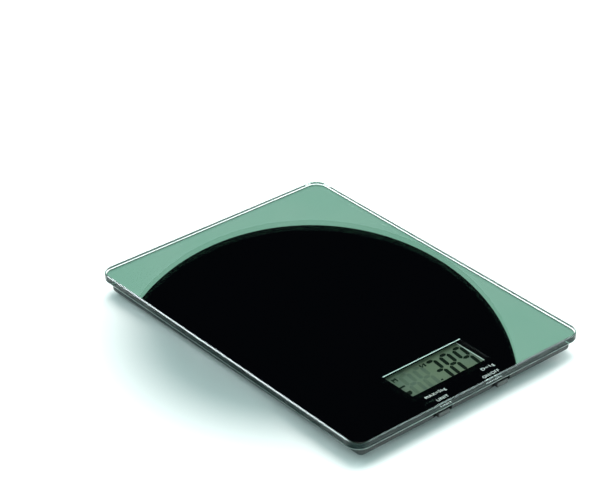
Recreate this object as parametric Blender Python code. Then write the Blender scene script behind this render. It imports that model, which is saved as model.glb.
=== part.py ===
"""Slim electronic kitchen scale: a glass platform glued on a shallow plastic base.

The frame: X runs along the front edge, Y runs from the display to the back, Z is up.
The origin is on the surface that the scale stands on, under the middle of the glass.
The base's underside rises a little towards the front, so the front feet stand taller.
"""

import math

import bmesh
import bpy
from mathutils import Matrix, Vector

MM = 0.001

# Platform
GLASS_WIDTH = 150 * MM
GLASS_DEPTH = 202 * MM
GLASS_THICKNESS = 4 * MM
GLASS_CORNER = 7.5 * MM
GLASS_CHAMFER = 0.5 * MM
SCALE_HEIGHT = 14.2 * MM
GLASS_UNDERSIDE = SCALE_HEIGHT - GLASS_THICKNESS

# Base
BASE_SIDE_INSET = 4.6 * MM
BASE_FRONT_INSET = 2.8 * MM
BASE_BACK_INSET = 3.5 * MM
BASE_CORNER = 3 * MM
BASE_UNDERSIDE_FRONT = 3.7 * MM
BASE_UNDERSIDE_BACK = 1.4 * MM
BASE_RIM = 9.5 * MM
BASE_WALL = 1.8 * MM
BASE_FLOOR = 1.3 * MM
BASE_LOWER_ROUND = 2.6 * MM
BASE_INNER_ROUND = 1 * MM
SMALLEST_CORNER = 0.6 * MM
RIM_WIDTH = 3.2 * MM
RIM_DEPTH = 1.2 * MM
RIM_SLOPE = 0.6 * MM
TAPE_INSET = 0.5 * MM
TAPE_WIDTH = 2.5 * MM
BASE_WIDTH = GLASS_WIDTH - 2 * BASE_SIDE_INSET
FRONT_FACE = -GLASS_DEPTH / 2 + BASE_FRONT_INSET
BACK_FACE = GLASS_DEPTH / 2 - BASE_BACK_INSET
BASE_DEPTH = BACK_FACE - FRONT_FACE
BASE_CENTRE = (0, (FRONT_FACE + BACK_FACE) / 2)

# Clearances, and how far a cutter runs past the face that it cuts
GAP = 0.3 * MM
THIN_GAP = 0.15 * MM
SOLDER_GAP = 0.05 * MM
CUT_PAST = 1 * MM

# Feet and load sensors
FOOT_INSET = 22 * MM
FOOT_X = GLASS_WIDTH / 2 - FOOT_INSET
FOOT_Y = GLASS_DEPTH / 2 - FOOT_INSET
FOOT_RADIUS = 10.5 * MM
FOOT_HOLE_RADIUS = 12 * MM
PAD_THICKNESS = 1.1 * MM
PAD_INSET = 0.8 * MM
PAD_TAPER = 0.5 * MM
PAD_TAPER_HEIGHT = 0.35 * MM
FOOT_DISC_TOP = 3.2 * MM
FOOT_EDGE = 0.4 * MM
FOOT_STUD_RADIUS = 3.2 * MM
FOOT_FILLET = 0.8 * MM
FOOT_TRAVEL = 0.3 * MM
SENSOR_SIZE = 28 * MM
SENSOR_UNDERSIDE = 7.3 * MM
SENSOR_THICKNESS = 1 * MM
SENSOR_FRAME = 4.5 * MM
SENSOR_SLOT = 1.5 * MM
SENSOR_TONGUE = 9 * MM
SENSOR_CORNER = 2 * MM
SENSOR_POST_RADIUS = 1.8 * MM
HOLDER_ARM = 3.6 * MM
GAUGE_SIZE = (7 * MM, 5 * MM)
GAUGE_CORNER = 2.2 * MM
CORNERS = {
    "front_left": (-1, -1),
    "front_right": (1, -1),
    "back_left": (-1, 1),
    "back_right": (1, 1),
}

# Display stack, from the board up to the glass
WINDOW_FRONT = -GLASS_DEPTH / 2 + 15 * MM
WINDOW_BACK = WINDOW_FRONT + 21.6 * MM
WINDOW_LEFT = -26.3 * MM
BOARD_UNDERSIDE = 5.15 * MM
BOARD_THICKNESS = 0.8 * MM
BOARD_TOP = BOARD_UNDERSIDE + BOARD_THICKNESS
BOARD_HALF = 35 * MM
BOARD_FRONT = -92.6 * MM
BOARD_BACK = -56 * MM
LCD_UNDERSIDE = 6.5 * MM
LCD_TOP = 7.75 * MM
LCD_HALF = 28.5 * MM
LCD_FRONT = WINDOW_FRONT - 1.9 * MM
LCD_BACK = WINDOW_BACK + 2.4 * MM
GASKET_MARGIN = 0.6 * MM
GASKET_RIGHT = 24.35 * MM
GASKET_BACK = WINDOW_BACK + 0.8 * MM
FRAME_WALL = 1 * MM
ZEBRA_HALF = 25.4 * MM
ZEBRA_WIDTH = 1.6 * MM
ZEBRA_INSET = 0.2 * MM
SOLDER_ROW = BOARD_BACK - 1.6 * MM
CHIP_PLACE = (6 * MM, -74 * MM)
CRYSTAL_PLACE = (-11 * MM, BOARD_BACK - 2.4 * MM)
CRYSTAL_SIZE = (6.5 * MM, 2.2 * MM, 2 * MM)
CAPACITOR_PLACE = (12.5 * MM, BOARD_BACK - 2.6 * MM)
CAPACITOR_RADIUS = 2 * MM
CAPACITOR_HEIGHT = 2.6 * MM
CAPACITOR_EDGE = 0.3 * MM

# Buttons
BUTTONS = {"unit": -17.9 * MM, "power": 21.1 * MM}
CAP_WIDTH = 7.3 * MM
CAP_UNDERSIDE = 4.75 * MM
CAP_HEIGHT = 2.75 * MM
CAP_FRONT = -GLASS_DEPTH / 2 + 1.6 * MM
CAP_BACK = FRONT_FACE + 1.6 * MM
CAP_EDGE = 0.45 * MM
BUTTON_TRAVEL = 0.5 * MM
BUTTON_AXIS_Z = 6.2 * MM
POCKET_WIDTH = 12.4 * MM
POCKET_TOP = 8.2 * MM
POCKET_DEPTH = 2.4 * MM
POCKET_WALL = 0.9 * MM
POCKET_SIDE_WALL = 1.2 * MM
SHANK_WIDTH = 4.6 * MM
SHANK_HEIGHT = 1.6 * MM
STOP_FRONT = FRONT_FACE + POCKET_DEPTH + POCKET_WALL + GAP
STOP_THICKNESS = 0.8 * MM
STOP_OVERHANG = 1.3 * MM
SWITCH_FRONT = BOARD_FRONT
SWITCH_SIZE = (4.6 * MM, 3 * MM, 1.9 * MM)
PLUNGER_RADIUS = 0.55 * MM
PLUNGER_CLEARANCE = 0.2 * MM
PLUNGER_DEPTH = 0.8 * MM
SWITCH_BORE_DEPTH = 1.6 * MM

# Battery: a CR2032 coin cell
CELL_CENTRE = (0, 30 * MM)
CELL_RADIUS = 10 * MM
CELL_THICKNESS = 3.2 * MM
CELL_UNDERSIDE = 4 * MM
WELL_RADIUS = 10.8 * MM
WELL_WALL = 1.2 * MM
WELL_CEILING = 8 * MM
WELL_TOP = 8.8 * MM
CONTACT_STRIP = 0.3 * MM
CONTACT_HALF_WIDTH = 1.6 * MM
CONTACT_HALF_DEPTH = 1.4 * MM
TAB_LENGTH = 5 * MM
SIDE_TAB_Z = WELL_CEILING - 0.4 * MM
SLOT_MARGIN = 0.6 * MM
DOOR_WIDTH = 28 * MM
DOOR_DEPTH = 34 * MM
DOOR_CORNER = 3 * MM
DOOR_THICKNESS = 1.5 * MM
DOOR_CLEARANCE = 0.35 * MM
BAY_WALL = 2.6 * MM
BAY_CEILING = 5.6 * MM
BAY_TOP = 6.8 * MM
HOOK_WIDTH = 4 * MM
HOOK_X = 8.5 * MM
HOOK_REACH = 1.6 * MM
HOOK_HEIGHT = 1.2 * MM
RISER_THICKNESS = 1.4 * MM
RISER_INSET = 0.2 * MM
GROOVE_HALF_WIDTH = 5 * MM
GROOVE_DEPTH = 1.6 * MM
GROOVE_HEIGHT = 0.7 * MM

# Leads and the board's screws
LEAD_RADIUS = 0.45 * MM
LEAD_POINT_SPACING = 6.4 * LEAD_RADIUS
SCREW_X = 32.2 * MM
SCREW_INSET = 3.5 * MM
SCREW_HOLE_RADIUS = 1.3 * MM
SCREW_THREAD_RADIUS = 0.85 * MM
SCREW_TIP_RADIUS = 0.5 * MM
SCREW_TIP_HEIGHT = 0.3 * MM
SCREW_REACH = 0.5 * MM
SCREW_HEAD_RADIUS = 1.9 * MM
SCREW_HEAD_TOP_RADIUS = 1.2 * MM
SCREW_HEAD_EDGE = 0.5 * MM
SCREW_HEAD_HEIGHT = 1 * MM
RECESS_HALF_LENGTH = 1 * MM
RECESS_HALF_WIDTH = 0.2 * MM
BOSS_RADIUS = 2.6 * MM
BOSS_BORE_RADIUS = 1.15 * MM


def start_clean():
    """Empty the scene, whatever it held."""
    for old in list(bpy.data.objects):
        bpy.data.objects.remove(old, do_unlink=True)


def material(name, colour, roughness, metallic=0.0):
    """A plain Principled finish."""
    finish = bpy.data.materials.new(name)
    finish.use_nodes = True
    shader = finish.node_tree.nodes["Principled BSDF"]
    shader.inputs["Base Color"].default_value = (*colour, 1)
    shader.inputs["Roughness"].default_value = roughness
    shader.inputs["Metallic"].default_value = metallic
    return finish


def underside(y):
    """Height of the base's sloping underside at a given depth."""
    share = (y - FRONT_FACE) / BASE_DEPTH
    return BASE_UNDERSIDE_FRONT + share * (BASE_UNDERSIDE_BACK - BASE_UNDERSIDE_FRONT)


# Outlines, as lists of (x, y) points that run counter-clockwise


def rounded_rectangle(width, depth, radius, centre=(0, 0), steps=6):
    outline = []
    for corner in range(4):
        start = corner * math.pi / 2
        side_x = 1 if corner in (0, 3) else -1
        side_y = 1 if corner in (0, 1) else -1
        middle_x = centre[0] + side_x * (width / 2 - radius)
        middle_y = centre[1] + side_y * (depth / 2 - radius)
        for step in range(steps + 1):
            angle = start + step / steps * math.pi / 2
            outline.append((middle_x + radius * math.cos(angle), middle_y + radius * math.sin(angle)))
    return outline


def rectangle(x0, y0, x1, y1):
    return [(x0, y0), (x1, y0), (x1, y1), (x0, y1)]


def circle(radius, centre=(0, 0), steps=32):
    turns = [2 * math.pi * step / steps for step in range(steps)]
    return [(centre[0] + radius * math.cos(turn), centre[1] + radius * math.sin(turn)) for turn in turns]


# Solids


def new_object(name, mesh_builder, finish=None):
    """Turn a filled bmesh into an object with its faces pointing out."""
    bmesh.ops.recalc_face_normals(mesh_builder, faces=mesh_builder.faces)
    mesh = bpy.data.meshes.new(name)
    mesh_builder.to_mesh(mesh)
    mesh_builder.free()
    part = bpy.data.objects.new(name, mesh)
    bpy.context.collection.objects.link(part)
    if finish:
        mesh.materials.append(finish)
    return part


def loft(name, rings, finish=None):
    """Skin a stack of rings that have equally many points, and close both ends."""
    builder = bmesh.new()
    loops = [[builder.verts.new(point) for point in ring] for ring in rings]
    count = len(loops[0])
    for lower, upper in zip(loops, loops[1:]):
        for index in range(count):
            following = (index + 1) % count
            builder.faces.new((lower[index], lower[following], upper[following], upper[index]))
    builder.faces.new(list(reversed(loops[0])))
    builder.faces.new(loops[-1])
    return new_object(name, builder, finish)


def plate(name, outline, z0, z1, finish=None, holes=()):
    """A flat piece with its outline, and any holes, drawn in plan."""
    builder = bmesh.new()
    edges = []
    for loop in (outline, *holes):
        verts = [builder.verts.new((x, y, z0)) for x, y in loop]
        edges += [builder.edges.new((verts[i - 1], verts[i])) for i in range(len(verts))]
    bmesh.ops.triangle_fill(builder, use_beauty=True, edges=edges)
    extruded = bmesh.ops.extrude_face_region(builder, geom=list(builder.faces))
    risen = [item for item in extruded["geom"] if isinstance(item, bmesh.types.BMVert)]
    bmesh.ops.translate(builder, verts=risen, vec=(0, 0, z1 - z0))
    return new_object(name, builder, finish)


def block(name, x, y, z, finish=None):
    """A box between pairs of limits."""
    return plate(name, rectangle(x[0], y[0], x[1], y[1]), z[0], z[1], finish)


def turned(name, profile, centre, finish=None, steps=32):
    """A round piece: rings of (radius, z) about a vertical axis."""
    rings = [[(x, y, z) for x, y in circle(radius, centre, steps)] for radius, z in profile]
    return shade_round(loft(name, rings, finish))


def rod(name, radius, x, z, ends, finish=None):
    """A round bar along Y between two ends."""
    rings = [[(x + px, y, z - pz) for px, pz in circle(radius, (0, 0), 16)] for y in ends]
    return shade_round(loft(name, rings, finish))


def shade_round(part, angle=35):
    part.data.shade_smooth()
    part.data.set_sharp_from_angle(angle=math.radians(angle))
    return part


def soften(part, width, segments=2, angle=50):
    """Round the edges that turn by more than an angle."""
    bevel = part.modifiers.new("edges", "BEVEL")
    bevel.width = width
    bevel.segments = segments
    bevel.limit_method = "ANGLE"
    bevel.angle_limit = math.radians(angle)
    return part


def combine(part, tool, operation):
    """Cut a tool away from a part, or join it to the part."""
    boolean = part.modifiers.new(tool.name, "BOOLEAN")
    boolean.operation = operation
    boolean.solver = "EXACT"
    boolean.object = tool
    tool.hide_render = True
    tool.display_type = "WIRE"


def set_origin(part, point):
    """Move a part's origin without moving the part."""
    part.data.transform(Matrix.Translation(-Vector(point)))
    part.location = point


def smooth_route(points, spacing):
    """Even points along a smooth curve through a hand-laid route."""
    steps = 24
    fine = []
    padded = [points[0], *points, points[-1]]
    for a, b, c, d in zip(padded, padded[1:], padded[2:], padded[3:]):
        a, b, c, d = Vector(a), Vector(b), Vector(c), Vector(d)
        for step in range(steps):
            t = step / steps
            square = (2 * a - 5 * b + 4 * c - d) * t**2
            cube = (3 * b - a - 3 * c + d) * t**3
            fine.append((2 * b + (c - a) * t + square + cube) / 2)
    fine.append(Vector(points[-1]))
    even = [fine[0]]
    for point in fine[1:-1]:
        if (point - even[-1]).length >= spacing:
            even.append(point)
    if (fine[-1] - even[-1]).length < spacing / 2:
        even.pop()
    even.append(fine[-1])
    return even


def wire(name, points, finish):
    """An insulated lead laid inside the case."""
    curve = bpy.data.curves.new(name, "CURVE")
    curve.dimensions = "3D"
    curve.bevel_depth = LEAD_RADIUS
    curve.bevel_resolution = 2
    curve.use_fill_caps = True
    route = smooth_route(points, LEAD_POINT_SPACING)
    spline = curve.splines.new("POLY")
    spline.points.add(len(route) - 1)
    for spline_point, point in zip(spline.points, route):
        spline_point.co = (*point, 1)
    curve.materials.append(finish)
    lead = bpy.data.objects.new(name, curve)
    bpy.context.collection.objects.link(lead)
    return lead


# The platform and how it is glued down


def make_glass(finish):
    rings = []
    for inset, z in (
        (GLASS_CHAMFER, GLASS_UNDERSIDE),
        (0, GLASS_UNDERSIDE + GLASS_CHAMFER),
        (0, SCALE_HEIGHT - GLASS_CHAMFER),
        (GLASS_CHAMFER, SCALE_HEIGHT),
    ):
        outline = rounded_rectangle(
            GLASS_WIDTH - 2 * inset, GLASS_DEPTH - 2 * inset, GLASS_CORNER - inset, steps=10
        )
        rings.append([(x, y, z) for x, y in outline])
    return shade_round(loft("glass_platform", rings, finish), 25)


def make_adhesive(finish):
    loops = []
    for inset in (TAPE_INSET, TAPE_INSET + TAPE_WIDTH):
        width = BASE_WIDTH - 2 * inset
        depth = BASE_DEPTH - 2 * inset
        corner = max(BASE_CORNER - inset, SMALLEST_CORNER)
        loops.append(rounded_rectangle(width, depth, corner, BASE_CENTRE))
    outer, inner = loops
    z0 = BASE_RIM + THIN_GAP
    z1 = GLASS_UNDERSIDE - THIN_GAP
    return plate("glass_adhesive", outer, z0, z1, finish, holes=[inner])


# The base cover


def base_ring(inset, height=None, level=None):
    """An outline of the base, at a height over the sloping underside or at a level."""
    corner = max(BASE_CORNER - inset, SMALLEST_CORNER)
    outline = rounded_rectangle(BASE_WIDTH - 2 * inset, BASE_DEPTH - 2 * inset, corner, BASE_CENTRE)
    return [(x, y, level if level is not None else underside(y) + height) for x, y in outline]


def make_base_shell(finish):
    """Outer wall from its rounded lower edge up to the rim, then down the inside to the floor."""
    rings = []
    arc_steps = 5
    for step in range(arc_steps + 1):
        angle = math.pi / 2 * step / arc_steps
        inset = BASE_LOWER_ROUND * (1 - math.sin(angle))
        rings.append(base_ring(inset, height=BASE_LOWER_ROUND * (1 - math.cos(angle))))
    rings.append(base_ring(0, level=BASE_RIM))
    rings.append(base_ring(RIM_WIDTH, level=BASE_RIM))
    rings.append(base_ring(RIM_WIDTH, level=BASE_RIM - RIM_DEPTH))
    rings.append(base_ring(BASE_WALL, level=BASE_RIM - RIM_DEPTH - RIM_SLOPE))
    rings.append(base_ring(BASE_WALL, height=BASE_FLOOR + BASE_INNER_ROUND))
    rings.append(base_ring(BASE_WALL + BASE_INNER_ROUND, height=BASE_FLOOR))
    return shade_round(loft("base_cover", rings, finish), 30)


def add_button_pockets(base):
    """A notch for each button, open below and in front, with a slot in its back wall."""
    half = POCKET_WIDTH / 2
    back = FRONT_FACE + POCKET_DEPTH
    for label, x in BUTTONS.items():
        surround = block(
            f"{label}_pocket_wall",
            (x - half - POCKET_SIDE_WALL, x + half + POCKET_SIDE_WALL),
            (FRONT_FACE + BASE_WALL / 2, back + POCKET_WALL),
            (underside(FRONT_FACE) + BASE_FLOOR / 2, BASE_RIM - RIM_DEPTH / 2),
        )
        combine(base, surround, "UNION")
        pocket = block(
            f"{label}_pocket",
            (x - half, x + half),
            (FRONT_FACE - CUT_PAST, back),
            (0, POCKET_TOP),
        )
        combine(base, pocket, "DIFFERENCE")
        slot = block(
            f"{label}_slot",
            (x - SHANK_WIDTH / 2 - GAP, x + SHANK_WIDTH / 2 + GAP),
            (back - CUT_PAST, back + POCKET_WALL + CUT_PAST),
            (BUTTON_AXIS_Z - SHANK_HEIGHT / 2 - GAP, BUTTON_AXIS_Z + SHANK_HEIGHT / 2 + GAP),
        )
        combine(base, slot, "DIFFERENCE")


def add_sensor_seats(base):
    """A hole for each foot, and four short posts under each sensor's frame."""
    reach = SENSOR_SIZE / 2 - SENSOR_FRAME / 2
    for name, (side_x, side_y) in CORNERS.items():
        x = side_x * FOOT_X
        y = side_y * FOOT_Y
        for index, (post_x, post_y) in enumerate(CORNERS.values()):
            centre = (x + post_x * reach, y + post_y * reach)
            post = plate(
                f"{name}_post_{index}",
                circle(SENSOR_POST_RADIUS, centre, 12),
                underside(centre[1]) + BASE_FLOOR / 2,
                SENSOR_UNDERSIDE - GAP,
            )
            combine(base, post, "UNION")
        hole_top = underside(y) + BASE_FLOOR + CUT_PAST
        hole = plate(f"{name}_foot_hole", circle(FOOT_HOLE_RADIUS, (x, y)), 0, hole_top)
        combine(base, hole, "DIFFERENCE")


def door_opening(extra):
    """The door's outline, widened all round."""
    return rounded_rectangle(
        DOOR_WIDTH + 2 * extra, DOOR_DEPTH + 2 * extra, DOOR_CORNER + extra, CELL_CENTRE
    )


def add_battery_bay(base):
    """A walled bay over the door, with a round well for the cell in its ceiling."""
    x, y = CELL_CENTRE
    low = underside(y)
    bay = plate("bay_wall", door_opening(DOOR_CLEARANCE + BAY_WALL), low + BASE_FLOOR / 2, BAY_TOP)
    combine(base, bay, "UNION")
    wall = plate("well_wall", circle(WELL_RADIUS + WELL_WALL, CELL_CENTRE, 36), BAY_CEILING, WELL_TOP)
    combine(base, wall, "UNION")
    well = plate("well", circle(WELL_RADIUS, CELL_CENTRE, 36), 0, WELL_CEILING)
    combine(base, well, "DIFFERENCE")
    opening = plate("door_opening", door_opening(DOOR_CLEARANCE), 0, BAY_CEILING)
    combine(base, opening, "DIFFERENCE")
    ceiling_slot = block(
        "contact_slot",
        (x - CONTACT_HALF_WIDTH - SLOT_MARGIN, x + CONTACT_HALF_WIDTH + SLOT_MARGIN),
        (y - CONTACT_HALF_DEPTH - SLOT_MARGIN, y + CONTACT_HALF_DEPTH + SLOT_MARGIN),
        (WELL_CEILING - CUT_PAST, WELL_TOP + CUT_PAST),
    )
    combine(base, ceiling_slot, "DIFFERENCE")
    side_slot = block(
        "side_contact_slot",
        (x + WELL_RADIUS - CUT_PAST, x + WELL_RADIUS + WELL_WALL + CUT_PAST),
        (y - CONTACT_HALF_WIDTH - SLOT_MARGIN, y + CONTACT_HALF_WIDTH + SLOT_MARGIN),
        (SIDE_TAB_Z - 4 * CONTACT_STRIP, WELL_TOP + CUT_PAST),
    )
    combine(base, side_slot, "DIFFERENCE")
    back = y + DOOR_DEPTH / 2
    for side in (-1, 1):
        centre_x = x + side * HOOK_X
        catch = block(
            f"hook_catch_{side}",
            (centre_x - HOOK_WIDTH / 2 - GAP, centre_x + HOOK_WIDTH / 2 + GAP),
            (back - CUT_PAST, back + HOOK_REACH + GAP),
            (underside(back) + BASE_FLOOR, BAY_CEILING),
        )
        combine(base, catch, "DIFFERENCE")


def screw_places():
    rows = (BOARD_FRONT + SCREW_INSET, BOARD_BACK - SCREW_INSET)
    return [(side * SCREW_X, y) for y in rows for side in (-1, 1)]


def add_board_bosses(base):
    for index, (x, y) in enumerate(screw_places()):
        low = underside(y) + BASE_FLOOR / 2
        outline = circle(BOSS_RADIUS, (x, y), 16)
        boss = plate(f"boss_{index}", outline, low, BOARD_UNDERSIDE - THIN_GAP)
        combine(base, boss, "UNION")
        opening = circle(BOSS_BORE_RADIUS, (x, y), 12)
        bore = plate(f"boss_bore_{index}", opening, low + GAP, BOARD_UNDERSIDE)
        combine(base, bore, "DIFFERENCE")


def make_base(finish):
    base = make_base_shell(finish)
    add_button_pockets(base)
    add_sensor_seats(base)
    add_battery_bay(base)
    add_board_bosses(base)
    return base


# Corner load sensors and feet


def make_sensor(name, centre, toward_middle, finish):
    """A spring-steel plate: a square frame, with a tongue in its slot that the foot pushes on."""
    x, y = centre
    half = SENSOR_SIZE / 2
    inner = half - SENSOR_FRAME
    tongue = SENSOR_TONGUE / 2
    outline = rounded_rectangle(SENSOR_SIZE, SENSOR_SIZE, SENSOR_CORNER, centre, steps=3)
    slot_local = [
        (inner, tongue),
        (inner, inner),
        (-inner, inner),
        (-inner, -inner),
        (inner, -inner),
        (inner, -tongue),
        (-inner + SENSOR_SLOT, -tongue),
        (-inner + SENSOR_SLOT, tongue),
    ]
    slot = [(x + toward_middle * px, y + py) for px, py in slot_local]
    z1 = SENSOR_UNDERSIDE + SENSOR_THICKNESS
    return plate(name, outline, SENSOR_UNDERSIDE, z1, finish, holes=[slot])


def make_holder(name, centre, toward_middle, finish):
    """A U-shaped plastic frame between the sensor's frame and the glass, open towards the middle."""
    x, y = centre
    half = SENSOR_SIZE / 2
    arm = HOLDER_ARM
    local = [
        (half, half),
        (-half, half),
        (-half, -half),
        (half, -half),
        (half, -half + arm),
        (-half + arm, -half + arm),
        (-half + arm, half - arm),
        (half, half - arm),
    ]
    outline = [(x + toward_middle * px, y + py) for px, py in local]
    z0 = SENSOR_UNDERSIDE + SENSOR_THICKNESS + THIN_GAP
    return plate(name, outline, z0, GLASS_UNDERSIDE - THIN_GAP, finish)


def make_gauge(name, centre, finish):
    """The strain gauges on the tongue, under a bead of sealant."""
    z0 = SENSOR_UNDERSIDE + SENSOR_THICKNESS + THIN_GAP
    width, depth = GAUGE_SIZE
    domed = [(1, 0), (1, 0.3 * MM), (0.8, 0.65 * MM), (0.45, 0.8 * MM)]
    rings = []
    for share, rise in domed:
        outline = rounded_rectangle(width * share, depth * share, GAUGE_CORNER * share, centre, steps=4)
        rings.append([(x, y, z0 + rise) for x, y in outline])
    return shade_round(loft(name, rings, finish), 60)


def make_foot(name, centre, finish):
    """A disc that carries the rubber pad, and a stud that reaches the sensor's tongue."""
    z0 = PAD_THICKNESS + THIN_GAP
    profile = [
        (FOOT_RADIUS - FOOT_EDGE, z0),
        (FOOT_RADIUS, z0 + FOOT_EDGE),
        (FOOT_RADIUS, FOOT_DISC_TOP - FOOT_EDGE),
        (FOOT_RADIUS - FOOT_EDGE, FOOT_DISC_TOP),
        (FOOT_STUD_RADIUS + FOOT_FILLET, FOOT_DISC_TOP),
        (FOOT_STUD_RADIUS, FOOT_DISC_TOP + FOOT_FILLET),
        (FOOT_STUD_RADIUS, SENSOR_UNDERSIDE - FOOT_TRAVEL - THIN_GAP),
    ]
    foot = turned(name, profile, centre, finish)
    set_origin(foot, (*centre, 0))
    return foot


def make_pad(name, centre, finish):
    radius = FOOT_RADIUS - PAD_INSET
    profile = [(radius - PAD_TAPER, 0), (radius, PAD_TAPER_HEIGHT), (radius, PAD_THICKNESS)]
    pad = turned(name, profile, centre, finish)
    set_origin(pad, (*centre, 0))
    return pad


def lead_route(side_x, side_y):
    """From a sensor's gauge, out of the frame's open side, along the floor to the board."""
    x = side_x * FOOT_X
    y = side_y * FOOT_Y
    over = SENSOR_UNDERSIDE + SENSOR_THICKNESS + 0.7 * MM
    board_level = BOARD_TOP + THIN_GAP + LEAD_RADIUS
    start = [(x - side_x * 4.3 * MM, y, over), (x - side_x * 9 * MM, y, over)]
    if side_y < 0:
        lane = side_x * 37 * MM
        return start + [
            (x - side_x * 15 * MM, y + 4 * MM, over),
            (lane, BOARD_BACK - 8 * MM, 7.4 * MM),
            (lane, BOARD_BACK - 1 * MM, 6.4 * MM),
            (side_x * 33 * MM, BOARD_BACK + 2.6 * MM, 6.2 * MM),
            (side_x * 28 * MM, BOARD_BACK + 1.6 * MM, 6.6 * MM),
            (side_x * 26 * MM, SOLDER_ROW, board_level),
        ]
    return start + [
        (x - side_x * 16.5 * MM, y - 3 * MM, over),
        (side_x * 30 * MM, y - 15 * MM, 6.5 * MM),
        (side_x * 26 * MM, 40 * MM, 5.2 * MM),
        (side_x * 24 * MM, 8 * MM, 5.2 * MM),
        (side_x * 22 * MM, -28 * MM, 5.4 * MM),
        (side_x * 19 * MM, -47 * MM, 5.6 * MM),
        (side_x * 18 * MM, BOARD_BACK + 1.6 * MM, 6.5 * MM),
        (side_x * 18 * MM, SOLDER_ROW, board_level),
    ]


def make_corners(finishes):
    for name, (side_x, side_y) in CORNERS.items():
        centre = (side_x * FOOT_X, side_y * FOOT_Y)
        make_sensor(f"load_sensor_{name}", centre, -side_x, finishes["spring steel"])
        make_holder(f"sensor_holder_{name}", centre, -side_x, finishes["grey plastic"])
        make_gauge(f"strain_gauge_{name}", centre, finishes["sealant"])
        make_foot(f"foot_{name}", centre, finishes["black plastic"])
        make_pad(f"foot_pad_{name}", centre, finishes["rubber"])
        wire(f"sensor_lead_{name}", lead_route(side_x, side_y), finishes["white insulation"])


# Display and board


def make_board(finish):
    outline = rectangle(-BOARD_HALF, BOARD_FRONT, BOARD_HALF, BOARD_BACK)
    holes = [circle(SCREW_HOLE_RADIUS, place, 16) for place in screw_places()]
    return plate("main_board", outline, BOARD_UNDERSIDE, BOARD_TOP, finish, holes)


def make_board_parts(finishes):
    """The controller lies under the display; the crystal and capacitor stand behind it."""
    z0 = BOARD_TOP + SOLDER_GAP
    drop = [(4.5 * MM, z0), (4 * MM, z0 + 0.25 * MM), (2.5 * MM, z0 + 0.4 * MM)]
    chip = turned("controller_chip", drop, CHIP_PLACE, finishes["epoxy"], 24)
    shade_round(chip, 60)
    z0 = BOARD_TOP + THIN_GAP
    width, depth, height = CRYSTAL_SIZE
    can = rounded_rectangle(width, depth, 0.45 * depth, CRYSTAL_PLACE)
    shade_round(plate("clock_crystal", can, z0, z0 + height, finishes["nickel"]))
    sleeve = [
        (CAPACITOR_RADIUS, z0),
        (CAPACITOR_RADIUS, z0 + CAPACITOR_HEIGHT - CAPACITOR_EDGE),
        (CAPACITOR_RADIUS - CAPACITOR_EDGE, z0 + CAPACITOR_HEIGHT),
    ]
    turned("filter_capacitor", sleeve, CAPACITOR_PLACE, finishes["black plastic"], 20)


def make_display(finishes):
    """The panel in its frame, on its zebra strip, under a foam gasket that meets the glass."""
    ceiling = GLASS_UNDERSIDE - THIN_GAP
    panel = rectangle(-LCD_HALF, LCD_FRONT, LCD_HALF, LCD_BACK)
    plate("lcd_panel", panel, LCD_UNDERSIDE, LCD_TOP, finishes["display"])
    opening = rectangle(
        WINDOW_LEFT - GASKET_MARGIN, WINDOW_FRONT - GASKET_MARGIN, GASKET_RIGHT, GASKET_BACK
    )
    plate("lcd_gasket", panel, LCD_TOP + THIN_GAP, ceiling, finishes["foam"], holes=[opening])
    inner = (-LCD_HALF - THIN_GAP, LCD_FRONT - THIN_GAP, LCD_HALF + THIN_GAP, LCD_BACK + THIN_GAP)
    outer = (inner[0] - FRAME_WALL, inner[1] - FRAME_WALL, inner[2] + FRAME_WALL, inner[3] + FRAME_WALL)
    plate(
        "lcd_frame",
        rectangle(*outer),
        BOARD_TOP + THIN_GAP,
        ceiling,
        finishes["light plastic"],
        holes=[rectangle(*inner)],
    )
    zebra_front = LCD_FRONT + ZEBRA_INSET
    plate(
        "zebra_strip",
        rectangle(-ZEBRA_HALF, zebra_front, ZEBRA_HALF, zebra_front + ZEBRA_WIDTH),
        BOARD_TOP + SOLDER_GAP,
        LCD_UNDERSIDE - SOLDER_GAP,
        finishes["zebra"],
    )


def make_screws(finish):
    """Pan-head screws that hold the board on its bosses, with a cross recess in each head."""
    tip = BOARD_UNDERSIDE - SCREW_REACH
    seat = BOARD_TOP + SOLDER_GAP
    profile = [
        (SCREW_TIP_RADIUS, tip),
        (SCREW_THREAD_RADIUS, tip + SCREW_TIP_HEIGHT),
        (SCREW_THREAD_RADIUS, seat),
        (SCREW_HEAD_RADIUS, seat),
        (SCREW_HEAD_RADIUS, seat + SCREW_HEAD_EDGE),
        (SCREW_HEAD_TOP_RADIUS, seat + SCREW_HEAD_HEIGHT),
    ]
    lengthwise = (RECESS_HALF_WIDTH, RECESS_HALF_LENGTH)
    crosswise = (RECESS_HALF_LENGTH, RECESS_HALF_WIDTH)
    for index, (x, y) in enumerate(screw_places(), start=1):
        screw = turned(f"board_screw_{index}", profile, (x, y), finish, 20)
        for arm, (half_x, half_y) in enumerate((crosswise, lengthwise)):
            recess = block(
                f"screw_{index}_recess_{arm}",
                (x - half_x, x + half_x),
                (y - half_y, y + half_y),
                (seat + SCREW_HEAD_EDGE, seat + SCREW_HEAD_HEIGHT + CUT_PAST),
            )
            combine(screw, recess, "DIFFERENCE")


# Buttons


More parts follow.
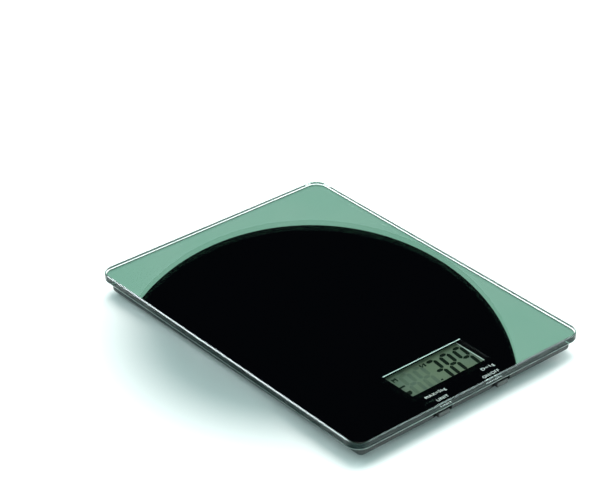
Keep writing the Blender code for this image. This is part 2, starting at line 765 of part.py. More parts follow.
def make_button(label, x, finish):
    """A cap outside, a shank through the slot, and a pusher that meets the switch's plunger."""
    cap = block(
        f"{label}_button",
        (x - CAP_WIDTH / 2, x + CAP_WIDTH / 2),
        (CAP_FRONT, CAP_BACK),
        (CAP_UNDERSIDE, CAP_UNDERSIDE + CAP_HEIGHT),
        finish,
    )
    soften(cap, CAP_EDGE, 3)
    shank = block(
        f"{label}_shank",
        (x - SHANK_WIDTH / 2, x + SHANK_WIDTH / 2),
        (CAP_BACK - CAP_EDGE, STOP_FRONT + STOP_THICKNESS / 2),
        (BUTTON_AXIS_Z - SHANK_HEIGHT / 2, BUTTON_AXIS_Z + SHANK_HEIGHT / 2),
    )
    combine(cap, shank, "UNION")
    stop = block(
        f"{label}_stop",
        (x - SHANK_WIDTH / 2 - STOP_OVERHANG, x + SHANK_WIDTH / 2 + STOP_OVERHANG),
        (STOP_FRONT, STOP_FRONT + STOP_THICKNESS),
        (BUTTON_AXIS_Z - SHANK_HEIGHT / 2 - 0.1 * MM, BUTTON_AXIS_Z + SHANK_HEIGHT / 2 + 0.7 * MM),
    )
    combine(cap, stop, "UNION")
    set_origin(cap, (x, CAP_FRONT, BUTTON_AXIS_Z))


def make_switch(label, x, finishes):
    """A side-pressed switch on the board's front edge, with its plunger in a bore."""
    width, depth, height = SWITCH_SIZE
    z0 = BOARD_TOP + SOLDER_GAP
    axis_z = z0 + height / 2
    housing = block(
        f"{label}_switch",
        (x - width / 2, x + width / 2),
        (SWITCH_FRONT, SWITCH_FRONT + depth),
        (z0, z0 + height),
        finishes["nickel"],
    )
    bore_radius = PLUNGER_RADIUS + PLUNGER_CLEARANCE
    bore_ends = (SWITCH_FRONT - CUT_PAST, SWITCH_FRONT + SWITCH_BORE_DEPTH)
    bore = rod(f"{label}_switch_bore", bore_radius, x, axis_z, bore_ends)
    combine(housing, bore, "DIFFERENCE")
    plunger_ends = (STOP_FRONT + STOP_THICKNESS + THIN_GAP, SWITCH_FRONT + PLUNGER_DEPTH)
    plunger = rod(f"{label}_plunger", PLUNGER_RADIUS, x, axis_z, plunger_ends, finishes["black plastic"])
    set_origin(plunger, (x, SWITCH_FRONT, axis_z))


# Battery and its door


def make_cell(finish):
    """The can's flat end faces the door, and the smaller cap, inside its crimped rim, faces up."""
    edge = 0.3 * MM
    crimp = 0.25 * MM
    rim_width = 1.4 * MM
    can_top = CELL_UNDERSIDE + CELL_THICKNESS - 0.35 * MM
    profile = [
        (CELL_RADIUS - edge, CELL_UNDERSIDE),
        (CELL_RADIUS, CELL_UNDERSIDE + edge),
        (CELL_RADIUS, can_top - crimp),
        (CELL_RADIUS - 2 * crimp, can_top),
        (CELL_RADIUS - rim_width, can_top),
        (CELL_RADIUS - rim_width - crimp, CELL_UNDERSIDE + CELL_THICKNESS),
    ]
    return turned("coin_cell", profile, CELL_CENTRE, finish, 40)


def make_contacts(finish):
    """A leaf over the cell's middle and an angled leaf at its side, each with a soldering tab."""
    x, y = CELL_CENTRE
    cell_top = CELL_UNDERSIDE + CELL_THICKNESS
    leaf_z = cell_top + THIN_GAP
    tab_z = WELL_TOP + THIN_GAP
    left = x - CONTACT_HALF_WIDTH
    across = (y - CONTACT_HALF_DEPTH, y + CONTACT_HALF_DEPTH)
    leaf_x = (left, x + CONTACT_HALF_WIDTH)
    leaf = block("battery_contact_negative", leaf_x, across, (leaf_z, leaf_z + CONTACT_STRIP), finish)
    stem = block("negative_stem", (left, left + CONTACT_STRIP), across, (leaf_z, tab_z + CONTACT_STRIP))
    combine(leaf, stem, "UNION")
    tab_x = (x - TAB_LENGTH, left + CONTACT_STRIP / 2)
    combine(leaf, block("negative_tab", tab_x, across, (tab_z, tab_z + CONTACT_STRIP)), "UNION")
    side_x = x + CELL_RADIUS + THIN_GAP
    along = (y - CONTACT_HALF_WIDTH, y + CONTACT_HALF_WIDTH)
    side_z = (CELL_UNDERSIDE + CELL_THICKNESS / 4, SIDE_TAB_Z)
    side_leaf = block("battery_contact_positive", (side_x, side_x + CONTACT_STRIP), along, side_z, finish)
    side_tab_x = (side_x, x + WELL_RADIUS + WELL_WALL + CONTACT_HALF_WIDTH)
    side_tab = block("positive_tab", side_tab_x, along, (SIDE_TAB_Z - CONTACT_STRIP, SIDE_TAB_Z))
    combine(side_leaf, side_tab, "UNION")


def make_door(finish):
    """A flush lid with two hooks at its back edge and a thumb groove at its front edge."""
    x, y = CELL_CENTRE
    outline = door_opening(0)
    rings = [
        [(px, py, underside(py)) for px, py in outline],
        [(px, py, underside(py) + DOOR_THICKNESS) for px, py in outline],
    ]
    door = shade_round(loft("battery_door", rings, finish), 30)
    back = y + DOOR_DEPTH / 2
    lip_top = underside(back) + BASE_FLOOR
    for side in (-1, 1):
        centre_x = x + side * HOOK_X
        riser = block(
            f"hook_riser_{side}",
            (centre_x - HOOK_WIDTH / 2, centre_x + HOOK_WIDTH / 2),
            (back - RISER_INSET - RISER_THICKNESS, back - RISER_INSET),
            (lip_top - DOOR_THICKNESS / 2, lip_top + HOOK_HEIGHT),
        )
        combine(door, riser, "UNION")
        toe = block(
            f"hook_toe_{side}",
            (centre_x - HOOK_WIDTH / 2, centre_x + HOOK_WIDTH / 2),
            (back - RISER_THICKNESS / 2, back + HOOK_REACH),
            (lip_top + GAP, lip_top + HOOK_HEIGHT),
        )
        combine(door, toe, "UNION")
    front = y - DOOR_DEPTH / 2
    groove = block(
        "thumb_groove",
        (x - GROOVE_HALF_WIDTH, x + GROOVE_HALF_WIDTH),
        (front - CUT_PAST, front + GROOVE_DEPTH),
        (0, underside(front) + GROOVE_HEIGHT),
    )
    combine(door, groove, "DIFFERENCE")
    set_origin(door, (x, back + DOOR_CLEARANCE / 2, underside(back)))


def make_battery_leads(finishes):
    """Two leads from the contacts' tabs, over the bay and along the floor, to the board."""
    x, y = CELL_CENTRE
    board_level = BOARD_TOP + THIN_GAP + LEAD_RADIUS
    wire(
        "battery_lead_negative",
        [
            (x - 5.8 * MM, y, WELL_TOP + 0.6 * MM),
            (x - 9.5 * MM, y - 3 * MM, WELL_TOP + 0.65 * MM),
            (x - 12.4 * MM, y - 6 * MM, WELL_TOP + 0.55 * MM),
            (x - 14 * MM, y - 10 * MM, 8.2 * MM),
            (x - 15 * MM, y - 15 * MM, 7.6 * MM),
            (x - 15.4 * MM, y - 21.5 * MM, 7.3 * MM),
            (x - 14 * MM, y - 32 * MM, 5.5 * MM),
            (x - 9 * MM, y - 50 * MM, 5.3 * MM),
            (x - 5 * MM, y - 74 * MM, 5.6 * MM),
            (x - 4 * MM, BOARD_BACK + 1.6 * MM, 6.5 * MM),
            (x - 4 * MM, SOLDER_ROW, board_level),
        ],
        finishes["black insulation"],
    )
    wire(
        "battery_lead_positive",
        [
            (x + WELL_RADIUS + WELL_WALL + 2.3 * MM, y, 7.5 * MM),
            (x + 15.3 * MM, y - 6 * MM, 7.5 * MM),
            (x + 15.6 * MM, y - 14 * MM, 7.5 * MM),
            (x + 15.4 * MM, y - 21.5 * MM, 7.3 * MM),
            (x + 14 * MM, y - 32 * MM, 5.5 * MM),
            (x + 9 * MM, y - 50 * MM, 5.3 * MM),
            (x + 6 * MM, y - 74 * MM, 5.6 * MM),
            (x + 5 * MM, BOARD_BACK + 1.6 * MM, 6.5 * MM),
            (x + 5 * MM, SOLDER_ROW, board_level),
        ],
        finishes["red insulation"],
    )


def make_finishes():
    return {
        "glass": material("glass", (0.02, 0.03, 0.03), 0.03),
        "tape": material("adhesive tape", (0.03, 0.03, 0.03), 0.7),
        "black plastic": material("black plastic", (0.03, 0.035, 0.035), 0.45),
        "grey plastic": material("grey plastic", (0.35, 0.36, 0.36), 0.5),
        "button plastic": material("button plastic", (0.1, 0.11, 0.11), 0.45),
        "light plastic": material("light plastic", (0.7, 0.74, 0.72), 0.45),
        "spring steel": material("spring steel", (0.6, 0.6, 0.6), 0.35, 1.0),
        "nickel": material("nickel plate", (0.75, 0.73, 0.68), 0.3, 1.0),
        "rubber": material("rubber", (0.05, 0.05, 0.05), 0.85),
        "sealant": material("white sealant", (0.8, 0.8, 0.78), 0.5),
        "epoxy": material("black epoxy", (0.015, 0.015, 0.015), 0.3),
        "board": material("circuit board", (0.03, 0.18, 0.07), 0.45),
        "display": material("display", (0.06, 0.1, 0.06), 0.15),
        "foam": material("black foam", (0.01, 0.01, 0.01), 0.95),
        "zebra": material("zebra rubber", (0.25, 0.25, 0.3), 0.7),
        "white insulation": material("white insulation", (0.8, 0.8, 0.78), 0.5),
        "black insulation": material("black insulation", (0.02, 0.02, 0.02), 0.5),
        "red insulation": material("red insulation", (0.5, 0.02, 0.02), 0.5),
    }


def main():
    start_clean()
    finishes = make_finishes()
    make_glass(finishes["glass"])
    make_adhesive(finishes["tape"])
    make_base(finishes["black plastic"])
    make_corners(finishes)
    make_board(finishes["board"])
    make_board_parts(finishes)
    make_display(finishes)
    make_screws(finishes["nickel"])
    for label, x in BUTTONS.items():
        make_button(label, x, finishes["button plastic"])
        make_switch(label, x, finishes)
    make_cell(finishes["nickel"])
    make_contacts(finishes["nickel"])
    make_door(finishes["black plastic"])
    make_battery_leads(finishes)


main()
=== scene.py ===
"""Looks of the slim glass kitchen scale: materials, printed glass, display, small details, studio."""

import math

import bmesh
import bpy
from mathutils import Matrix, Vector


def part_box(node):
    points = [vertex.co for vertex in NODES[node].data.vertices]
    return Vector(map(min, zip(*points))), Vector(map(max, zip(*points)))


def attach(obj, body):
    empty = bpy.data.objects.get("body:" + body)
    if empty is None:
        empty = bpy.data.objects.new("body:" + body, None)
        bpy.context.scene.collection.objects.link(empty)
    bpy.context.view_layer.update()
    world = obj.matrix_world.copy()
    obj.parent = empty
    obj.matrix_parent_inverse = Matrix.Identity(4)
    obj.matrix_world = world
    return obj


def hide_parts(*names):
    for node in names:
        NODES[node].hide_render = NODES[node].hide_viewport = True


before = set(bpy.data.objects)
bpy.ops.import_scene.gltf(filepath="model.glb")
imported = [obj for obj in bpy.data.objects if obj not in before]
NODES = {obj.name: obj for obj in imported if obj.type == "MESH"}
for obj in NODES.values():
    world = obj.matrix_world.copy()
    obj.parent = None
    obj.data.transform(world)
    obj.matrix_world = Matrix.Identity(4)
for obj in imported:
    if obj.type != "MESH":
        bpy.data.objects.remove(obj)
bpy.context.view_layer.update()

MM = 0.001

# The glass plate and what is printed under it. An arris is how far in and how far down it goes,
# and the window is its left, front, right and back
GLASS_LOW, GLASS_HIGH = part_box("glass_platform")
GLASS_CORNER = 7.5 * MM
UPPER_ARRIS = (0.7 * MM, 0.5 * MM)
LOWER_ARRIS = (0.18 * MM, 0.5 * MM)
PRINT_MARGIN = 0.95 * MM
PRINT_LIFT = 0.02 * MM
PRINT_THICKNESS = 0.03 * MM
INK_LIFT = 0.06 * MM
WINDOW = (-26.3 * MM, -86 * MM, 25.3 * MM, -64.4 * MM)

# Painted highlights: a pale strip that glows a little along the window's back, and one on the display's
# right
LCD_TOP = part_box("lcd_panel")[1].z
BACK_HIGHLIGHT_WIDTH = 0.7 * MM
BACK_HIGHLIGHT_LIFT = 0.005 * MM
BACK_HIGHLIGHT_THICKNESS = 0.01 * MM
RIGHT_HIGHLIGHT = (23.75 * MM, -86.4 * MM, 24.1 * MM, -63.9 * MM)
RIGHT_HIGHLIGHT_LIFT = 0.01 * MM
RIGHT_HIGHLIGHT_THICKNESS = 0.02 * MM

# Painted shade and light on the buttons: a dark sheet round each cap in its notch in the base's front
# wall, and a paler sheet on each cap's front face
BASE_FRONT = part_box("base_cover")[0].y
NOTCH_SHADE_DEPTH = (0.6 * MM, 0.7 * MM)
NOTCH_SHADE_HALF = 6.1 * MM
NOTCH_SHADE_Z = (4.95 * MM, 8.15 * MM)
NOTCH_SHADE_GAP = 0.2 * MM
LIT_FACE_MARGIN = 0.25 * MM
LIT_FACE_DEPTH = 0.03 * MM

# Digits: seven segments each, leaning to the right
DIGIT_HEIGHT = 19.4 * MM
DIGIT_WIDTH = 7.1 * MM
DIGIT_STROKE = 2.15 * MM
DIGIT_GAP = 0.3 * MM
DIGIT_SLANT = 0.12
DIGIT_PITCH = 8.9 * MM
DIGIT_BASE_Y = -85.5 * MM
DIGIT_RIGHT = 21.6 * MM
SEGMENT_LIFT = 0.02 * MM
SEGMENT_THICKNESS = 0.03 * MM
SEGMENTS = {"3": "abgcd", "8": "abcdefg", "9": "abcdfg"}
READING = "389"
UNLIT_PLACES = (3, 4)
# Small signs round the digits, in mm: an N, an M, a dash, a cup and a decimal point
DISPLAY_SIGNS = (
    [(-4.3, -68.9), (-3.3, -68.9), (-3.0, -66.1), (-4.0, -66.1)],
    [(-1.9, -68.9), (-0.9, -68.9), (-0.6, -66.1), (-1.6, -66.1)],
    [(-3.4, -68.4), (-2.8, -68.4), (-1.6, -66.5), (-2.2, -66.5)],
    [(-23.0, -69.4), (-22.3, -69.4), (-22.1, -66.5), (-22.8, -66.5)],
    [(-20.9, -69.4), (-20.2, -69.4), (-20.0, -66.5), (-20.7, -66.5)],
    [(-22.1, -68.0), (-20.9, -68.0), (-20.9, -66.9), (-22.1, -66.9)],
    [(-24.1, -75.2), (-20.6, -75.0), (-20.6, -73.8), (-24.1, -73.9)],
    [(-24.2, -81.8), (-22.6, -81.8), (-21.3, -80.6), (-21.3, -78.9), (-24.2, -78.9)],
    [(-4.2, -82.7), (-2.6, -82.7), (-2.6, -81.8), (-3.4, -81.5)],
)

# Printed words: name, words, centre and width
CAP_HEIGHT = 1.9 * MM
LABEL_THINNING = -0.012
LABEL_SPACING = 1.12
LABELS = (
    ("label_unit", "UNIT", (-16.1 * MM, -96 * MM), 7.2 * MM),
    ("label_power", "ON/OFF", (15.6 * MM, -96.4 * MM), 10.5 * MM),
    ("label_capacity", "MAX=5kg", (-16.2 * MM, -91 * MM), 12.7 * MM),
    ("label_division", "D=1g", (18.4 * MM, -91.2 * MM), 7.9 * MM),
)

# Camera, with its angles in degrees and its lens and sensor in Blender's millimetres
CAMERA_PLACE = (-0.62923, -0.71307, 0.62268)
CAMERA_ELEVATION = 31.3265
CAMERA_AZIMUTH = -40.3347
CAMERA_LENS = 133.24
CAMERA_SENSOR = 36


# Materials

# The part of a noise's range over which a colour, or a roughness, changes
COLOUR_SPAN = (0.35, 0.65)
ROUGHNESS_SPAN = (0.3, 0.7)
GLASS_IOR = 1.52
# The glass is green through its side: the colour that it keeps, and how much it takes of the rest
GLASS_TINT = (0.66, 0.93, 0.86, 1)
GLASS_TINT_DENSITY = 22
# Curved walls are faceted more finely than this, in degrees, and real edges are sharper.
# The glass's lower arris is shallow, so the glass has a smaller angle
SMOOTH_ANGLE = 30
GLASS_SMOOTH_ANGLE = 12


def principled(name, colour, roughness, metallic=0.0, **inputs):
    finish = bpy.data.materials.new(name)
    finish.use_nodes = True
    shader = finish.node_tree.nodes["Principled BSDF"]
    shader.inputs["Base Color"].default_value = (*colour, 1)
    shader.inputs["Roughness"].default_value = roughness
    shader.inputs["Metallic"].default_value = metallic
    for key, value in inputs.items():
        shader.inputs[key.replace("_", " ")].default_value = value
    return finish


def add_node(finish, kind, **values):
    node = finish.node_tree.nodes.new(kind)
    for key, value in values.items():
        setattr(node, key, value)
    return node


def shader_of(finish):
    return finish.node_tree.nodes["Principled BSDF"]


def noise(finish, scale, detail=3.0, stretch=(1, 1, 1)):
    """Noise in object space: its scale is in features per metre."""
    links = finish.node_tree.links
    coordinates = add_node(finish, "ShaderNodeTexCoord")
    mapping = add_node(finish, "ShaderNodeMapping")
    mapping.inputs["Scale"].default_value = stretch
    texture = add_node(finish, "ShaderNodeTexNoise")
    texture.inputs["Scale"].default_value = scale
    texture.inputs["Detail"].default_value = detail
    links.new(coordinates.outputs["Object"], mapping.inputs["Vector"])
    links.new(mapping.outputs["Vector"], texture.inputs["Vector"])
    return texture


def ramp(finish, source, low, high):
    """Colour that goes from low to high over the middle part of a noise."""
    node = add_node(finish, "ShaderNodeValToRGB")
    ends = node.color_ramp.elements
    for end, position, colour in zip(ends, COLOUR_SPAN, (low, high)):
        end.position = position
        end.color = (*colour, 1)
    finish.node_tree.links.new(source, node.inputs["Fac"])
    return node.outputs["Color"]


def mottle(finish, low, high, scale, detail=4.0, stretch=(1, 1, 1)):
    """Colour that drifts between two shades."""
    texture = noise(finish, scale, detail, stretch)
    colour = ramp(finish, texture.outputs["Fac"], low, high)
    finish.node_tree.links.new(colour, shader_of(finish).inputs["Base Color"])
    return finish


def vary_roughness(finish, low, high, scale, stretch=(1, 1, 1)):
    """Roughness that drifts between two values."""
    texture = noise(finish, scale, 4.0, stretch)
    spread = add_node(finish, "ShaderNodeMapRange")
    spread.inputs["From Min"].default_value = ROUGHNESS_SPAN[0]
    spread.inputs["From Max"].default_value = ROUGHNESS_SPAN[1]
    spread.inputs["To Min"].default_value = low
    spread.inputs["To Max"].default_value = high
    links = finish.node_tree.links
    links.new(texture.outputs["Fac"], spread.inputs["Value"])
    links.new(spread.outputs["Result"], shader_of(finish).inputs["Roughness"])
    return finish


def grain(finish, scale, depth, strength, stretch=(1, 1, 1)):
    """Fine surface relief, with its depth in metres."""
    texture = noise(finish, scale, stretch=stretch)
    bump = add_node(finish, "ShaderNodeBump")
    bump.inputs["Strength"].default_value = strength
    bump.inputs["Distance"].default_value = depth
    links = finish.node_tree.links
    links.new(texture.outputs["Fac"], bump.inputs["Height"])
    links.new(bump.outputs["Normal"], shader_of(finish).inputs["Normal"])
    return finish


def moulded(name, dark, light, roughness, relief=0.03 * MM):
    """Injection-moulded plastic with a fine spark-eroded texture."""
    finish = principled(name, light, roughness)
    mottle(finish, dark, light, 180)
    vary_roughness(finish, roughness - 0.06, roughness + 0.08, 420)
    return grain(finish, 3200, relief, 0.5)


def plated(name, dark, light, roughness, stretch=(1, 1, 1)):
    """Plated or rolled metal with fine drawn lines."""
    finish = principled(name, light, roughness, 1.0)
    mottle(finish, dark, light, 260, stretch=stretch)
    vary_roughness(finish, roughness - 0.08, roughness + 0.12, 700, stretch)
    return grain(finish, 1800, 0.01 * MM, 0.4, stretch)


def make_glass_finishes():
    """The plate's side faces, its flat faces, and its two ground arrises."""
    finishes = {
        "clear": principled(
            "clear_glass",
            (1, 1, 1),
            0.0,
            Transmission_Weight=1.0,
            IOR=GLASS_IOR,
            Specular_Tint=(0.28, 0.58, 0.54, 1),
        ),
        "glass top": principled(
            "glass_top",
            (1, 1, 1),
            0.0,
            Transmission_Weight=1.0,
            IOR=GLASS_IOR,
            Specular_Tint=(0.05, 0.05, 0.05, 1),
        ),
        "ground": principled(
            "ground_arris",
            (0.84, 0.97, 0.93),
            0.22,
            Transmission_Weight=1.0,
            IOR=GLASS_IOR,
            Specular_Tint=(0, 0, 0, 1),
            Coat_Weight=1.0,
            Coat_Roughness=0.22,
            Coat_IOR=GLASS_IOR,
        ),
        "lower ground": principled(
            "lower_arris", (0.8, 1, 0.93), 0.3, Transmission_Weight=0.8, IOR=GLASS_IOR
        ),
    }
    for name in ("ground", "lower ground"):
        grain(finishes[name], 5200, 0.02 * MM, 0.12)
    for finish in finishes.values():
        absorption = add_node(finish, "ShaderNodeVolumeAbsorption")
        absorption.inputs["Color"].default_value = GLASS_TINT
        absorption.inputs["Density"].default_value = GLASS_TINT_DENSITY
        output = finish.node_tree.nodes["Material Output"]
        finish.node_tree.links.new(absorption.outputs["Volume"], output.inputs["Volume"])
    return finishes


def make_finishes():
    film = principled("mirror_print", (0.29, 0.42, 0.33), 0.0, 1.0)
    mottle(film, (0.28, 0.425, 0.33), (0.32, 0.44, 0.35), 14, 2.0)
    ink = principled("black_ink", (0.012, 0.014, 0.014), 0.45)
    grain(ink, 2600, 0.01 * MM, 0.3)
    # White print that glows a little: painted light that brightens the words under the glass
    white_ink_and_painted_glow = principled(
        "white_ink_and_painted_glow", (0.82, 0.84, 0.84), 0.55, Emission_Color=(0.9, 1, 0.98, 1), Emission_Strength=0.6
    )
    mottle(white_ink_and_painted_glow, (0.76, 0.78, 0.78), (0.86, 0.88, 0.88), 2200)

    shell = moulded("base_plastic", (0.007, 0.013, 0.013), (0.014, 0.023, 0.022), 0.42)
    cell = plated("cell_can", (0.55, 0.55, 0.53), (0.72, 0.71, 0.69), 0.28, (1, 1, 6))
    board = principled("solder_mask", (0.02, 0.13, 0.05), 0.35)
    mottle(board, (0.014, 0.10, 0.038), (0.03, 0.17, 0.07), 120)
    grain(board, 900, 0.02 * MM, 0.4)
    display = principled("display_glass", (0.135, 0.17, 0.12), 0.3, Specular_IOR_Level=0.2)
    mottle(display, (0.127, 0.168, 0.125), (0.146, 0.185, 0.117), 45, 3.0)
    grain(display, 5000, 0.004 * MM, 0.2)
    foam = principled("foam", (0.006, 0.006, 0.006), 0.95, Specular_IOR_Level=0.05)
    mottle(foam, (0.003, 0.003, 0.003), (0.012, 0.012, 0.012), 2400)
    grain(foam, 2400, 0.2 * MM, 0.9)
    zebra = principled("zebra", (0.2, 0.2, 0.24), 0.6)
    mottle(zebra, (0.03, 0.03, 0.03), (0.45, 0.45, 0.5), 2600, 0.0, (1, 0.02, 0.02))
    grain(zebra, 2600, 0.02 * MM, 0.4)
    rubber = principled("pad_rubber", (0.022, 0.022, 0.022), 0.82)
    mottle(rubber, (0.014, 0.014, 0.014), (0.035, 0.034, 0.033), 700)
    grain(rubber, 2800, 0.08 * MM, 0.7)
    tape = principled("tape", (0.01, 0.01, 0.01), 0.75)
    mottle(tape, (0.006, 0.006, 0.006), (0.018, 0.018, 0.018), 900)
    grain(tape, 1500, 0.05 * MM, 0.5)
    epoxy = principled("epoxy_drop", (0.01, 0.01, 0.011), 0.18)
    mottle(epoxy, (0.006, 0.006, 0.007), (0.016, 0.016, 0.018), 300)
    grain(epoxy, 500, 0.05 * MM, 0.3)
    sleeve = principled("capacitor_sleeve", (0.015, 0.018, 0.035), 0.3)
    mottle(sleeve, (0.01, 0.012, 0.025), (0.02, 0.024, 0.045), 500)
    grain(sleeve, 1500, 0.02 * MM, 0.3)
    sealant = principled("sealant", (0.78, 0.78, 0.74), 0.4, Subsurface_Weight=0.15)
    mottle(sealant, (0.72, 0.72, 0.67), (0.84, 0.84, 0.8), 420)
    grain(sealant, 800, 0.08 * MM, 0.5)
    insulation = {}
    for name, low, high in (
        ("white", (0.7, 0.7, 0.66), (0.82, 0.82, 0.79)),
        ("black", (0.012, 0.012, 0.012), (0.028, 0.028, 0.028)),
        ("red", (0.38, 0.012, 0.012), (0.52, 0.02, 0.02)),
    ):
        finish = principled(f"{name}_insulation", high, 0.42)
        mottle(finish, low, high, 600)
        insulation[name] = grain(finish, 1500, 0.02 * MM, 0.3)
    return {
        **make_glass_finishes(),
        "film": film,
        "ink": ink,
        "white_ink_and_painted_glow": white_ink_and_painted_glow,
        "shell": shell,
        "cell": cell,
        "board": board,
        "display": display,
        "foam": foam,
        "zebra": zebra,
        "rubber": rubber,
        "tape": tape,
        "epoxy": epoxy,
        "sleeve": sleeve,
        "sealant": sealant,
        "white lead": insulation["white"],
        "black lead": insulation["black"],
        "red lead": insulation["red"],
        "door": moulded("door_plastic", (0.013, 0.018, 0.018), (0.024, 0.03, 0.03), 0.45),
        "foot": moulded("foot_plastic", (0.014, 0.016, 0.016), (0.028, 0.03, 0.03), 0.5),
        # Painted shade: the caps are darkened so that their tops and sides look shaded, and their front
        # faces get the paler, lit sheet below
        "button": moulded("button_plastic", (0.005, 0.006, 0.006), (0.01, 0.012, 0.012), 0.5, 0.02 * MM),
        "lit button face": moulded("painted_lit_button_face", (0.04, 0.05, 0.048), (0.06, 0.07, 0.068), 0.4, 0.02 * MM),
        "plunger": moulded("plunger_plastic", (0.012, 0.012, 0.012), (0.03, 0.03, 0.03), 0.4),
        "frame": moulded("frame_plastic", (0.02, 0.022, 0.021), (0.04, 0.043, 0.041), 0.5),
        "holder": moulded("holder_plastic", (0.24, 0.25, 0.25), (0.34, 0.35, 0.35), 0.5),
        "nickel": plated("nickel_strip", (0.6, 0.58, 0.52), (0.78, 0.75, 0.68), 0.26, (4, 1, 1)),
        "can": plated("switch_can", (0.58, 0.57, 0.54), (0.74, 0.72, 0.69), 0.3, (1, 4, 1)),
        "crystal": plated("crystal_can", (0.62, 0.61, 0.58), (0.8, 0.79, 0.76), 0.18),
        "screw": plated("screw_steel", (0.42, 0.42, 0.42), (0.62, 0.62, 0.6), 0.3),
        "spring": plated("spring_steel", (0.45, 0.45, 0.46), (0.66, 0.66, 0.66), 0.32, (1, 8, 1)),
        "segment": mottle(
            principled("segment", (0.003, 0.008, 0.004), 0.6, Specular_IOR_Level=0.05),
            (0.002, 0.006, 0.003),
            (0.004, 0.011, 0.005),
            900,
        ),
        "ghost": mottle(
            principled("unlit_segment", (0.1, 0.135, 0.1), 0.5, Specular_IOR_Level=0.1),
            (0.1, 0.135, 0.102),
            (0.113, 0.147, 0.1),
            300,
        ),
        # Painted highlight: a pale colour with a little glow, for the lit edges round the window
        "painted highlight edge": mottle(
            principled(
                "painted_highlight_edge",
                (0.9, 0.95, 0.92),
                0.4,
                Emission_Color=(0.5, 0.85, 0.7, 1),
                Emission_Strength=0.1,
            ),
            (0.8, 0.9, 0.85),
            (0.92, 0.96, 0.94),
            300,
        ),
        # Painted shade: the near-black sheet in each button's notch
        "surround": mottle(
            principled("button_surround", (0.002, 0.003, 0.003), 0.9, Specular_IOR_Level=0.02),
            (0.001, 0.002, 0.002),
            (0.004, 0.005, 0.005),
            500,
        ),
    }


def dress(node, finish):
    """Give a CAD node its finish, and smooth shading where its facets stand for a curve."""
    part = NODES[node]
    part.data.materials.clear()
    part.data.materials.append(finish)
    part.data.shade_smooth()
    part.data.set_sharp_from_angle(angle=math.radians(SMOOTH_ANGLE))


# Mesh building


def rounded_outline(half_x, half_y, radius, steps=20):
    """Corners of a rectangle round 0, 0 with round corners, counterclockwise."""
    outline = []
    for corner in range(4):
        side_x = 1 if corner in (0, 3) else -1
        side_y = 1 if corner in (0, 1) else -1
        for step in range(steps + 1):
            angle = (corner + step / steps) * math.pi / 2
            outline.append(
                (
                    side_x * (half_x - radius) + radius * math.cos(angle),
                    side_y * (half_y - radius) + radius * math.sin(angle),
                )
            )
    return outline


def piece(name, builder, finishes, body="scale", sharp=SMOOTH_ANGLE):
    """An object made from a mesh in the making. It rides on a body unless it belongs to the studio."""
    bmesh.ops.recalc_face_normals(builder, faces=builder.faces)
    mesh = bpy.data.meshes.new(name)
    builder.to_mesh(mesh)
    builder.free()
    for finish in finishes:
        mesh.materials.append(finish)
    if sharp:
        mesh.shade_smooth()
        mesh.set_sharp_from_angle(angle=math.radians(sharp))
    shape = bpy.data.objects.new(name, mesh)
    bpy.context.scene.collection.objects.link(shape)
    if body:
        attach(shape, body)
    return shape


def add_plate(builder, outline, z0, z1, holes=()):
    """Add a flat solid to a mesh in the making."""
    before = set(builder.faces)
    edges = []
    for loop in (outline, *holes):
        verts = [builder.verts.new((x, y, z0)) for x, y in loop]
        edges += [builder.edges.new((verts[i - 1], verts[i])) for i in range(len(verts))]
    bmesh.ops.triangle_fill(builder, use_beauty=True, edges=edges)
    flat = [face for face in builder.faces if face not in before]
    extruded = bmesh.ops.extrude_face_region(builder, geom=flat)
    risen = [item for item in extruded["geom"] if isinstance(item, bmesh.types.BMVert)]
    bmesh.ops.translate(builder, verts=risen, vec=(0, 0, z1 - z0))


def rectangle(x0, y0, x1, y1):
    return [(x0, y0), (x1, y0), (x1, y1), (x0, y1)]


def make_glass(finishes):
    """The plate, with polished side faces between two ground arrises."""
    kinds = ("clear", "ground", "glass top", "lower ground")
    half = (GLASS_HIGH - GLASS_LOW) / 2
    levels = (
        (LOWER_ARRIS[0], GLASS_LOW.z),
        (0, GLASS_LOW.z + LOWER_ARRIS[1]),
        (0, GLASS_HIGH.z - UPPER_ARRIS[1]),
        (UPPER_ARRIS[0], GLASS_HIGH.z),
    )
    builder = bmesh.new()
    loops = []
    for inset, z in levels:
        outline = rounded_outline(half.x - inset, half.y - inset, GLASS_CORNER - inset)
        loops.append([builder.verts.new((x, y, z)) for x, y in outline])
    count = len(loops[0])
    for level, (lower, upper) in enumerate(zip(loops, loops[1:])):
        for index in range(count):
            after = (index + 1) % count
            face = builder.faces.new((lower[index], lower[after], upper[after], upper[index]))
            face.material_index = kinds.index(("lower ground", "clear", "ground")[level])
    for flat in (list(reversed(loops[0])), loops[-1]):
        builder.faces.new(flat).material_index = kinds.index("glass top")
    faces = [finishes[kind] for kind in kinds]
    glass = piece("glass_plate", builder, faces, sharp=GLASS_SMOOTH_ANGLE)
    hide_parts("glass_platform")


def make_print(finishes):
    """The dark mirror print under the glass: it stops short of the edge and leaves a window."""
    half = (GLASS_HIGH - GLASS_LOW) / 2
    outline = rounded_outline(half.x - PRINT_MARGIN, half.y - PRINT_MARGIN, GLASS_CORNER - PRINT_MARGIN)
    z0 = GLASS_LOW.z + PRINT_LIFT
    builder = bmesh.new()
    add_plate(builder, outline, z0, z0 + PRINT_THICKNESS, holes=[rectangle(*WINDOW)])
    builder.normal_update()
    bmesh.ops.recalc_face_normals(builder, faces=builder.faces)
    for face in builder.faces:
        face.material_index = 0 if face.normal.z > 0.5 else 1
    piece("glass_print", builder, [finishes["film"], finishes["ink"]], sharp=None)


